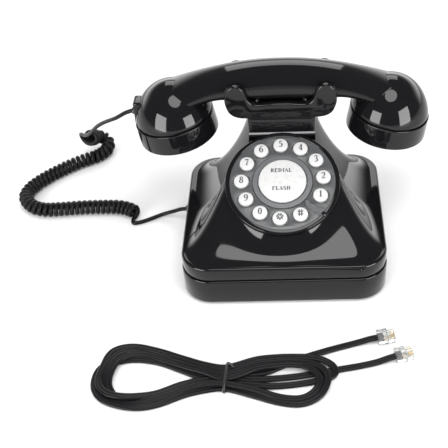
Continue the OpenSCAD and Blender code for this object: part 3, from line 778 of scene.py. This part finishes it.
def stem(x, w=15):
    return [[(x, 2, w), (x, 98, w)], bar(x - 15, x + 15, 2), bar(x - 15, x + 15, 98)]


def turned(strokes, cx, cy):
    return [[(2 * cx - x, 2 * cy - y, w) for x, y, w in s] for s in strokes]


def oval(cx, cy, rx, ry, thin, thick):
    return [[(cx + rx * cos(a), cy + ry * sin(a), thin + (thick - thin) * abs(cos(a)))
             for a in np.linspace(0, 2 * pi, 25)]]


SIX = [[(52, 93, 10), (38, 99, 7), (20, 86, 10), (9, 58, 15), (9, 30, 16), (18, 7, 12), (32, 1, 7),
        (47, 10, 12), (53, 30, 15), (46, 50, 12), (32, 58, 7), (16, 47, 7)]]
GLYPHS = {
    "1": [[(32, 2, 16), (32, 99, 16)], [(30, 97, 6), (14, 86, 5)], bar(12, 52, 2)],
    "2": [[(8, 74, 12), (13, 92, 8), (30, 99, 7), (47, 89, 13), (50, 70, 16), (40, 46, 12), (20, 22, 7),
          (7, 6, 6)], bar(7, 52, 6, 12), [(52, 6, 8), (57, 24, 5)]],
    "3": [[(9, 82, 10), (20, 98, 7), (40, 95, 12), (46, 77, 15), (37, 58, 9), (22, 53, 6)],
          [(24, 53, 6), (42, 49, 10), (52, 30, 16), (44, 8, 12), (24, 0, 7), (8, 10, 11)]],
    "4": [[(41, 99, 6), (4, 29, 6)], bar(3, 60, 28, 7), [(43, 99, 14), (43, 2, 16)], bar(27, 59, 2)],
    "5": [bar(15, 50, 94, 13), [(15, 96, 6), (11, 54, 6)],
          [(11, 54, 6), (30, 62, 8), (48, 50, 14), (53, 28, 17), (40, 6, 10), (22, 0, 7), (7, 10, 12)]],
    "6": SIX,
    "7": [[(5, 93, 14), (56, 93, 13)], [(5, 95, 5), (3, 74, 5)], [(55, 90, 6), (36, 50, 10), (27, 2, 17)]],
    "8": oval(30, 76, 17, 22, 7, 13) + oval(30, 27, 22, 26, 7, 15),
    "9": turned(SIX, 30, 50),
    "0": oval(30, 50, 21, 48, 6, 15),
    "*": [[(30 + r * cos(a), 50 + r * sin(a), w) for r, w in ((12, 8), (46, 21))]
          for a in around(7) + pi / 14],
    "#": [[(14, 4, 10), (14, 96, 10)], [(46, 4, 10), (46, 96, 10)], [(-6, 30, 11), (66, 34, 11)],
          [(-6, 66, 11), (66, 70, 11)]],
    "R": stem(15) + [[(15, 97, 6), (42, 95, 9), (53, 76, 14), (42, 56, 9), (15, 52, 6)],
          [(32, 52, 10), (62, 2, 14)]],
    "E": stem(15) + [bar(15, 56, 97, 7), [(56, 99, 5), (57, 78, 5)], bar(15, 42, 52),
          bar(15, 58, 3, 7), [(58, 1, 5), (60, 24, 5)]],
    "D": stem(15) + [[(15, 97, 6), (42, 93, 9), (60, 50, 16), (42, 7, 9), (15, 3, 6)]],
    "I": stem(25),
    "A": [[(33, 99, 6), (8, 2, 6)], [(33, 99, 10), (60, 2, 15)], bar(17, 50, 34),
          bar(-2, 20, 2, 5), bar(44, 72, 2, 5)],
    "L": stem(15) + [bar(15, 56, 3, 7), [(56, 1, 5), (58, 26, 5)]],
    "F": stem(15) + [bar(15, 56, 97, 7), [(56, 99, 5), (57, 76, 5)], bar(15, 42, 52)],
    "S": [[(50, 78, 6), (42, 95, 7), (26, 99, 8), (11, 84, 12), (17, 62, 15), (42, 42, 16), (50, 20, 13),
          (36, 2, 8), (18, 2, 7), (7, 22, 6)]],
    "H": stem(12) + stem(56) + [bar(12, 56, 50)],
}
ADVANCE = {"I": 0.5, "H": 0.85, "A": 0.82, "D": 0.82, "R": 0.82}
USUAL_ADVANCE, SINGLE_ADVANCE = 0.74, 0.6
PRINT_THICK = 0.04


def glyph(char, weight):
    """Flat strokes of one character, as thin solids just above z 0."""
    parts = []
    for k, stroke in enumerate(GLYPHS[char]):
        stroke = np.array(stroke) / 100
        p = catmull(stroke, 5) if len(stroke) > 2 else stroke
        t = np.gradient(p[:, :2], axis=0)
        t /= np.maximum(np.linalg.norm(t, axis=1), 1e-9)[:, None]
        n = np.stack([-t[:, 1], t[:, 0]], 1) * p[:, 2:] * weight / 2
        h = 1.0 + 0.06 * k
        rows = [[(*(q + m), 0), (*(q - m), 0), (*(q - m), h), (*(q + m), h)] for q, m in zip(p[:, :2], n)]
        parts.append(loft(rows))
    return join(parts)


def lettering(name, text, height, centre, z, place, mat, body, squeeze=0.95, weight=1.3, thick=PRINT_THICK):
    """A row of characters, centred, as one piece."""
    widths = [ADVANCE.get(c, USUAL_ADVANCE) if len(text) > 1 else SINGLE_ADVANCE for c in text]
    x, parts = -sum(widths) / 2, []
    for c, w in zip(text, widths):
        p, f = glyph(c, weight)
        flat = (p[:, :2] + (x, -0.5)) * height * (squeeze, 1) + centre
        parts.append((place(np.c_[flat, z + p[:, 2] * thick]), f))
        x += w
    part(name, join(parts), 30, mat, body, "key_white")


KEY_NAMES = ["1", "2", "3", "4", "5", "6", "7", "8", "9", "0", "star", "hash"]
SIGNS = {"star": "*", "hash": "#"}
DIGIT_H, SIGN_H, WORD_H = 5.0, 5.9, 2.9


def keys():
    """Twelve caps, each with its skirt, its stem and its print."""
    r = KEY_R - CAP_GAP
    profile = [(0, 1.78), (2.5, 1.77), (4.0, 1.72), (4.6, 1.62)] + arc(r - 0.6, 1.05, 0.6, 75, 0, 6)
    profile += [(r, -2.1), (KEY_R + 0.4, -2.3), (KEY_R + 0.4, -2.9), (2.0, -3.0), (2.0, -4.7), (0, -4.7)]
    for i, n in enumerate(KEY_NAMES):
        def place(p, spot=(*key_spot(i), 0)):
            return on_dial(np.asarray(p) + spot)
        body = "key_" + n
        part("key_cap_" + n, revolve(profile, 64, place), 40, WHITE, body, "key_white", [body])
        height = SIGN_H if n in SIGNS else DIGIT_H
        lettering("key_print_" + n, SIGNS.get(n, n), height, (0, 0.9), 1.76, place, INK, body)


def rocker():
    """The centre disc, slightly domed, with its arm below and a word in each half."""
    profile = [(0, 2.15), (6, 2.12), (11, 2.02), (15, 1.86), (16.4, 1.74)]
    profile += arc(ROCKER_R - 0.7, 1.02, 0.7, 80, 0, 6)
    profile += [(ROCKER_R, -0.2), (ROCKER_R - 1.2, -0.2), (ROCKER_R - 1.2, 0.4), (0, 0.4)]
    arm = rounded_box((-13.4, -2, -5.55), (13.4, 2, 0.6), 0.3)
    shape = join([revolve(profile, 128, on_dial), placed(arm, on_dial)])
    part("centre_disc", shape, 40, WHITE, "rocker", "key_white", ["center_rocker"])
    for name, word, centre, z, squeeze in (("centre_word_upper", "REDIAL", (-0.5, 8.4), 1.94, 1.23),
                                           ("centre_word_lower", "FLASH", (-0.6, -6.3), 1.96, 1.2)):
        lettering(name, word, WORD_H, centre, z, on_dial, INK_SOFT, "rocker", squeeze, 1.5, 0.2)


# ---------- cradle ----------
CRADLE_HALF, CRADLE_DEPTH, LIP_R = 41.0, 19.0, 3.1
# Its front view, in from its end and up from the top of the neck, of the horn and of the saddle
HORN_FOOT = [(14, 0), (9.5, 0.6), (6, 2), (3, 4.6), (1.4, 8), (0.3, 12), (0, 16)]
HORN_TIP = [(0.5, -7.6), (1.8, -4.2), (4.4, -1.2), (7.8, 0), (11.2, -0.8), (13.8, -3.4), (15.4, -7.2),
            (16.6, -10.8)]
HORN_SADDLE = [(18.4, 4.8), (20.8, 2.9), (24.5, 2.2), (29, 2.4), (35, 3.1)]


def horn_side():
    """One side of the cradle's front view, from the neck up over a horn and down to the saddle."""
    groups = ((NECK_TOP, HORN_FOOT), (HORN_TOP, HORN_TIP), (SADDLE_Z, HORN_SADDLE))
    return [(CRADLE_HALF - s, level + up) for level, group in groups for s, up in group]


def inset_ring(ring, amount):
    """A closed plan ring moved inwards along its normals. The ring runs anticlockwise."""
    p = np.asarray(ring, float)
    t = unit(np.roll(p, -1, 0) - np.roll(p, 1, 0))
    return p + np.stack([-t[:, 1], t[:, 0]], 1) * amount


def rounded_slab(ring, lo, hi, r, steps=6):
    """A closed front view (x, z) given depth from lo to hi, with edges rounded by r."""
    rows = [(lo + r - r * cos(a), r - r * sin(a)) for a in np.linspace(0, pi / 2, steps)]
    rows += [(hi - (y - lo), s) for y, s in reversed(rows)]
    return loft([[(x, y, z) for x, z in inset_ring(ring, s)] for y, s in rows])


def cradle():
    """Two slabs with horns, a rounded lip along the saddle between them, and the floor that joins them."""
    front, rear = CRADLE_Y - CRADLE_DEPTH, CRADLE_Y + CRADLE_DEPTH
    side = catmull(horn_side(), 5)
    view = np.array([tuple(p) for p in side] + [(-p[0], p[1]) for p in side[::-1]])
    parts = [rounded_slab(view, front, front + HORN_T, 1.3), rounded_slab(view, rear - HORN_T, rear, 1.3)]
    lip = [p for p in side if p[1] < SADDLE_Z + 6 and p[0] < CRADLE_HALF - 17]
    lip = np.array([(p[0], front + 3.25, p[1] - LIP_R) for p in lip])
    lip = np.concatenate([lip, lip[::-1] * [-1, 1, 1]])
    parts.append(sweep(even(catmull(lip, 4), 1.0), circle_section(LIP_R, 24)))
    floor = [tuple(p) for p in side if p[1] <= SADDLE_Z - 0.8 and p[0] > CRADLE_HALF - 15]
    floor += [(CRADLE_HALF - 6, SADDLE_Z - 0.3), (CRADLE_HALF - 16, SADDLE_Z - 0.2), (0, SADDLE_Z - 0.2)]
    floor = np.array(floor + [(-x, z) for x, z in floor[::-1] if x > 0.01])
    parts.append(rounded_slab(floor, front + HORN_T - 0.8, rear - HORN_T + 0.8, 0.3, 3))
    part("cradle_horns", join(parts), 32, GLOSS, "base", "black_gloss", ["cradle"])


# ---------- handset ----------


def bezier(a, b, c, d, steps):
    t = np.linspace(0, 1, steps, endpoint=False)[:, None]
    a, b, c, d = (np.array(q, float) for q in (a, b, c, d))
    return a * (1 - t) ** 3 + 3 * b * t * (1 - t) ** 2 + 3 * c * t * t * (1 - t) + d * t ** 3


def handle_section():
    """The handle's section on a square of half size 1: bulging, with a ridge each side of a flat top."""
    low = bezier((0, -1.0), (0.55, -1.0), (0.99, -0.82), (1.0, -0.45), 16)
    side = bezier((1.0, -0.45), (0.96, 0.1), (0.7, 0.64), (0.54, 0.925), 18)
    top = bezier((0.54, 0.925), (0.4, 0.975), (0.2, 1.0), (0, 1.0), 9)
    half = np.concatenate([low, side, top])
    return np.concatenate([half, [(0, 1.0)], (half * [-1, 1])[:0:-1]])


HANDLE_SECTION = handle_section()


def handle_ring(x, inset):
    """The handle's section at a distance from its middle."""
    half = HANDLE_RY + 7 * (max(0, abs(x) - 42) / 42) ** 2 - inset
    top = HANDLE_Z + HANDLE_RZ - 18 * (abs(x) / HANDLE_END) ** 2.1 - inset
    low = HANDLE_Z - HANDLE_RZ - 11 * (max(0, abs(x) - 44) / 40) ** 1.6 + inset
    return [(x, CRADLE_Y + half * u, (top + low) / 2 + (top - low) / 2 * v) for u, v in HANDLE_SECTION]


def handle_rings(inset, steps=60):
    places = [copysign(HANDLE_END * abs(i / steps) ** 0.9, i) for i in range(-steps, steps + 1)]
    return [handle_ring(x, inset) for x in places]


def on_cap(side):
    def place(p):
        p = np.atleast_2d(np.asarray(p, float))
        c, s = cos(side * CAP_TILT), sin(side * CAP_TILT)
        return np.stack([side * CAP_X + p[:, 0] * c + p[:, 2] * s, np.full(len(p), CRADLE_Y) + p[:, 1],
                         CAP_Z - p[:, 0] * s + p[:, 2] * c], 1)
    return place


DOME_START = 0.3


def dome_profile(inset, steps=28):
    r = CAP_R - 1.5 - inset
    out = [(0, CAP_H - inset), (r - 0.6, CAP_H - inset), (r - 0.15, CAP_H + 0.15), (r, CAP_H + 0.7)]
    low, tall = sin(DOME_START), DOME_H - 2 - inset
    for a in np.linspace(DOME_START, pi / 2, steps)[:-1]:
        height = CAP_H + 2 + tall * (sin(a) - low) / (1 - low)
        out.append((r * cos(a) / cos(DOME_START), height))
    return out + [(0, CAP_H + DOME_H - inset)]


def scratch(shape, name="tool"):
    return add_mesh(name, *shape)


def rod(start, end, r, n=32):
    return sweep(np.array([start, end], float), circle_section(r, n))


def handset():
    """The shell of handle, domes and cord block, the cover strip under the handle, the caps and the boot."""
    shell = scratch(loft(handle_rings(0.0)), "handset_shell_body")
    boolean(shell, [scratch(revolve(dome_profile(0.0), 96, on_cap(m))) for m in (-1, 1)], "UNION")
    block = rounded_box((-111.0, CRADLE_Y - 6.2, 84.0), (-100.0, CRADLE_Y + 6.2, 106.0), 1.6, 5)
    boolean(shell, [scratch(block)], "UNION")
    hollow = scratch(loft(handle_rings(WALL, 30)))
    boolean(hollow, [scratch(revolve(dome_profile(WALL), 48, on_cap(m))) for m in (-1, 1)], "UNION")
    cover_room = scratch(rounded_box((-48.1, 0, SEAM_Z - 12), (48.1, 80, SEAM_Z + 0.1), 0.02, 2))
    bore = scratch(rod((-114.0, CRADLE_Y, CORD_Z), (-98.0, CRADLE_Y, CORD_Z), 4.0))
    boolean(shell, [hollow, cover_room, bore], "DIFFERENCE", 32)
    piece(shell, GLOSS, "handset", "black_gloss", ["handset_shell"])
    cover = scratch(loft(handle_rings(0.0, 40)), "handset_cover_body")
    boolean(cover, [scratch(rounded_box((-48, 0, 80), (48, 80, SEAM_Z), 0.02, 2))], "INTERSECT")
    holes = [scratch(rod((x, CRADLE_Y, 95.0), (x, CRADLE_Y, 118.0), 1.6, 24)) for x in (-34.0, 34.0)]
    boolean(cover, [scratch(loft(handle_rings(WALL, 30)))] + holes, "DIFFERENCE", 32)
    piece(cover, GLOSS, "handset", "black_gloss", ["handle_cover"])
    speaking_cap("ear_cap", 1, 3)
    speaking_cap("mouth_cap", -1, 2)
    cord_boot()


def speaking_cap(name, side, hole_rings):
    """A turned cap at one end of the handset, with rings of holes round its middle hole."""
    profile = [(0, 1.3), (CAP_R - 9, 1.2)] + arc(CAP_R - 7.4, 1.4, 1.4, 230, 270, 4)
    profile += [(CAP_R - 4, 0.02), (CAP_R - 1.6, 0.02)] + arc(CAP_R - 1.3, 1.32, 1.3, 280, 360, 6)
    profile += [(CAP_R - 0.2, 7), (CAP_R - 0.5, CAP_H - 1.3)] + arc(CAP_R - 1.1, CAP_H - 1.0, 0.6, 0, 80, 5)
    profile += [(CAP_R - 1.6, CAP_H - 0.45), (CAP_R - 5, CAP_H - 0.45), (CAP_R - 5, 3.4), (0, 3.4)]
    cap = add_mesh(name + "_turned", *revolve(profile, 128, on_cap(side)), 30)
    tool = revolve([(0, -1), (1.0, -1), (1.0, 5), (0, 5)], 14)
    holes = []
    for j in range(hole_rings + 1):
        for k in range(max(6 * j, 1)):
            a = radians(60 * k / max(j, 1))
            spot = [4.5 * j * cos(a), 4.5 * j * sin(a), 0]
            holes.append((on_cap(side)(tool[0] + spot), tool[1]))
    boolean(cap, [scratch(join(holes))], "DIFFERENCE", 30)
    piece(cap, GLOSS, "handset", "black_gloss", [name])


def along_x(x, y, z):
    """A placing function that lays a turned shape's axis along X, from a point."""
    return lambda p: np.stack([x + p[:, 2], y + p[:, 1], z - p[:, 0]], 1)


def cord_boot():
    """The ribbed boot where the cord leaves the handset."""
    profile = [(1.7, -0.6), (2.3, -0.6), (2.75, 0.2)]
    for k in range(5):
        r, z = 2.5 + 0.2 * k, 1.9 * k
        wide = 2.8 + 0.2 * k
        profile += [(wide, 1.0 + z), (wide, 2.0 + z), (r, 2.3 + z), (r, 2.6 + z)]
    profile += [(3.9, 11.0), (3.9, 11.9), (1.7, 11.9)]
    shape = closed_revolve(profile, 32, along_x(CORD_X + 0.62, CRADLE_Y, CORD_Z))
    part("handset_boot_ribbed", shape, 30, SATIN, "handset", "black_gloss", ["handset_cord_boot"])


# ---------- base tray, grommet and feet ----------


def at_corners(shape, dx, dy):
    """Four copies of a shape, dx and dy either side of the base's middle."""
    return [(shape[0] + [sx * dx, BASE_Y + sy * dy, 0], shape[1]) for sx in (-1, 1) for sy in (-1, 1)]


def tray():
    """The tray with its socket opening, grommet hole, screw bores and sound slots; screw posts and feet."""
    inner = SKIRT + 0.4
    rows = [(1.6, FOOT_H), (0.9, FOOT_H + 0.2), (0.35, FOOT_H + 0.7), (0.0, FOOT_H + 1.6),
            (0.0, TRAY_TOP - 1.0), (0.12, TRAY_TOP - 0.5), (0.4, TRAY_TOP - 0.15), (0.8, TRAY_TOP),
            (inner, TRAY_TOP), (inner, LIP_BOTTOM + 3), (inner + WALL, LIP_BOTTOM + 3),
            (inner + WALL, FOOT_H + WALL)]
    obj = add_mesh("tray_shell", *loft([outline(s, z, around(240)) for s, z in rows]), 32)
    rear = BASE_Y + BASE_D / 2
    jack_room = scratch(rounded_box((-35.2, rear - 9, 5.8), (-20.8, rear + 1, 19.2), 0.05, 2))
    grommet_room = scratch(rod((-80.0, GROMMET_Y, GROMMET_Z), (-64.0, GROMMET_Y, GROMMET_Z), 4.0))
    bore = revolve([(0, 0), (3.2, 0), (3.2, FOOT_H + 2.5), (1.6, FOOT_H + 2.5), (1.6, 6), (0, 6)], 32)
    slots = [rounded_box((x - 1, BASE_Y - 29, 0), (x + 1, BASE_Y - 15, 8), 0.9, 3) for x in range(15, 50, 5)]
    floor_holes = scratch(join(at_corners(bore, POST_DX, POST_DY) + slots))
    boolean(obj, [jack_room, grommet_room, floor_holes], "DIFFERENCE", 32)
    piece(obj, GLOSS, "base", "black_gloss", ["base_tray"])
    post = closed_revolve([(1.6, 3.8), (5, 3.8), (4.7, 17.9), (1.6, 17.9)], 32)
    part("tray_screw_posts", join(at_corners(post, POST_DX, POST_DY)), 30, INNER, "base", "black_gloss")
    grommet()
    foot = revolve([(0, 0.35), (4.6, 0.3), (5.2, 0), (6.4, 0), (6.9, 0.35), (7, FOOT_H), (0, FOOT_H)], 48)
    part("rubber_feet_turned", join(at_corners(foot, FOOT_DX, FOOT_DY)), 30, RUBBER, "base", "foot_rubber",
         ["rubber_feet"])


def grommet():
    """The turned rubber sleeve where the handset cord enters the base."""
    profile = [(1.75, 0), (2.6, 0), (2.9, 0.5), (3.2, 2.8), (5.2, 2.8), (5.4, 3.1), (5.4, 3.7), (5.2, 4.0),
               (3.9, 4.0), (3.9, 9.85), (5.3, 9.85), (5.3, 11.3), (3.7, 11.3), (3.6, 12), (1.75, 12)]
    shape = closed_revolve(profile, 48, along_x(GROMMET_X, GROMMET_Y, GROMMET_Z))
    part("cord_grommet_turned", shape, 30, RUBBER, "base", "foot_rubber", ["cord_grommet"])


housing()
dial_drum()
neck()
dial()
finger_stop()
keys()
rocker()
cradle()
handset()
tray()

# What the parts without a finer mesh are made of
CAD_LOOKS = [
    (STEEL, "base_screws cradle_screws rocker_pin hook_spring handset_screws microphone"),
    (INNER, "hook_switch ringer line_jack receiver_speaker"), (IRON, "ballast_weight handset_weight"),
    (BOARD, "keypad_pcb main_pcb"), (SILICONE, "keypad_membrane"), (RIBBON, "ribbon_cable"),
    (GLOSS, "hook_plungers"), (GOLD, "jack_contacts"),
]
for look, nodes in CAD_LOOKS:
    for node in nodes.split():
        paint(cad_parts[node], look)

# ---------- studio, in metres ----------
FLOOR_HALF = 9000  # millimetres
SOFTBOX_SIZE, SOFTBOX_RADIANCE, SOFTBOX_REACH, SOFTBOX_Z = (0.5, 0.52), 12.0, 0.85, 0.27
OCTABOX_SIZE, OCTABOX_RADIANCE = (0.6, 0.6), 5.4
PANEL_SIZE, PANEL_RADIANCE = (1.5, 1.0), 3.6
CEILING_STRENGTH, CEILING_ANGLE = 3.2, radians(110)
AMBIENT, HORIZON_GLOW = 0.2, 3.4


def soft_light(name, at, target, size, radiance, shape="RECTANGLE"):
    """A softbox of the given radiance that faces a point."""
    data = bpy.data.lights.new(name, "AREA")
    data.shape, data.size, data.size_y = shape, *size
    data.energy = radiance * pi * size[0] * size[1]
    obj = add_object(name, data)
    facing = (Vector(target) - Vector(at)).to_track_quat("-Z", "Y").to_matrix().to_4x4()
    obj.matrix_world = Matrix.Translation(at) @ facing
    obj.visible_camera = False


def lights():
    """A softbox low at each side, one above, a panel far behind, and light from all over the ceiling."""
    for name, side, angle in (("softbox_left", -1, -37), ("softbox_right", 1, 42)):
        a = radians(angle)
        at = (0.08 * side + SOFTBOX_REACH * sin(a), 0.02 - SOFTBOX_REACH * cos(a), SOFTBOX_Z)
        soft_light(name, at, (0.05 * side, 0.0, 0.08), SOFTBOX_SIZE, SOFTBOX_RADIANCE)
    soft_light("octabox_top", (0.07, -0.27, 1.0), (0.0, 0.0, 0.1), OCTABOX_SIZE, OCTABOX_RADIANCE, "ELLIPSE")
    soft_light("back_panel", (0.0, 1.9, 1.5), (0.0, 0.9, 0.0), PANEL_SIZE, PANEL_RADIANCE)
    fill = bpy.data.lights.new("ceiling_fill", "SUN")
    fill.energy, fill.angle = CEILING_STRENGTH, CEILING_ANGLE
    add_object("ceiling_fill", fill).visible_glossy = False


def surroundings():
    """A dim grey world with a glow low along the back."""
    world = bpy.data.worlds.new("studio")
    bpy.context.scene.world = world
    world.use_nodes = True
    tree = world.node_tree
    view = add_node(tree, "TexCoord", "Generated", {})
    split = tree.nodes.new("ShaderNodeSeparateXYZ")
    fill_inputs(tree, split, {"Vector": view})

    def ramp(axis, low, high, start, end):
        return add_node(tree, "MapRange", "Result", {
            "Value": split.outputs[axis], "From Min": low, "From Max": high, "To Min": start, "To Max": end,
        }, interpolation_type="SMOOTHSTEP")
    rear, level = ramp("Y", 0.1, 0.6, 0, HORIZON_GLOW), ramp("Z", 0.1, 0.5, 1, 0)
    glow = add_node(tree, "Math", "Value", {0: rear, 1: level}, operation="MULTIPLY")
    total = add_node(tree, "Math", "Value", {0: glow, 1: AMBIENT}, operation="ADD")
    fill_inputs(tree, tree.nodes["Background"], {"Strength": total, "Color": (1, 1, 1, 1)})


def studio():
    corners = [(x * FLOOR_HALF, y * FLOOR_HALF, 0) for x, y in ((-1, -1), (1, -1), (1, 1), (-1, 1))]
    floor = add_mesh("floor", corners, [(0, 1, 2, 3)])
    paint(floor, material("paper_floor", (0.54, 0.54, 0.54), 0.9, noise=3.0, bump=0.0, tint=0.01))
    lights()
    surroundings()
    bpy.context.scene.view_settings.view_transform = "Standard"


studio()
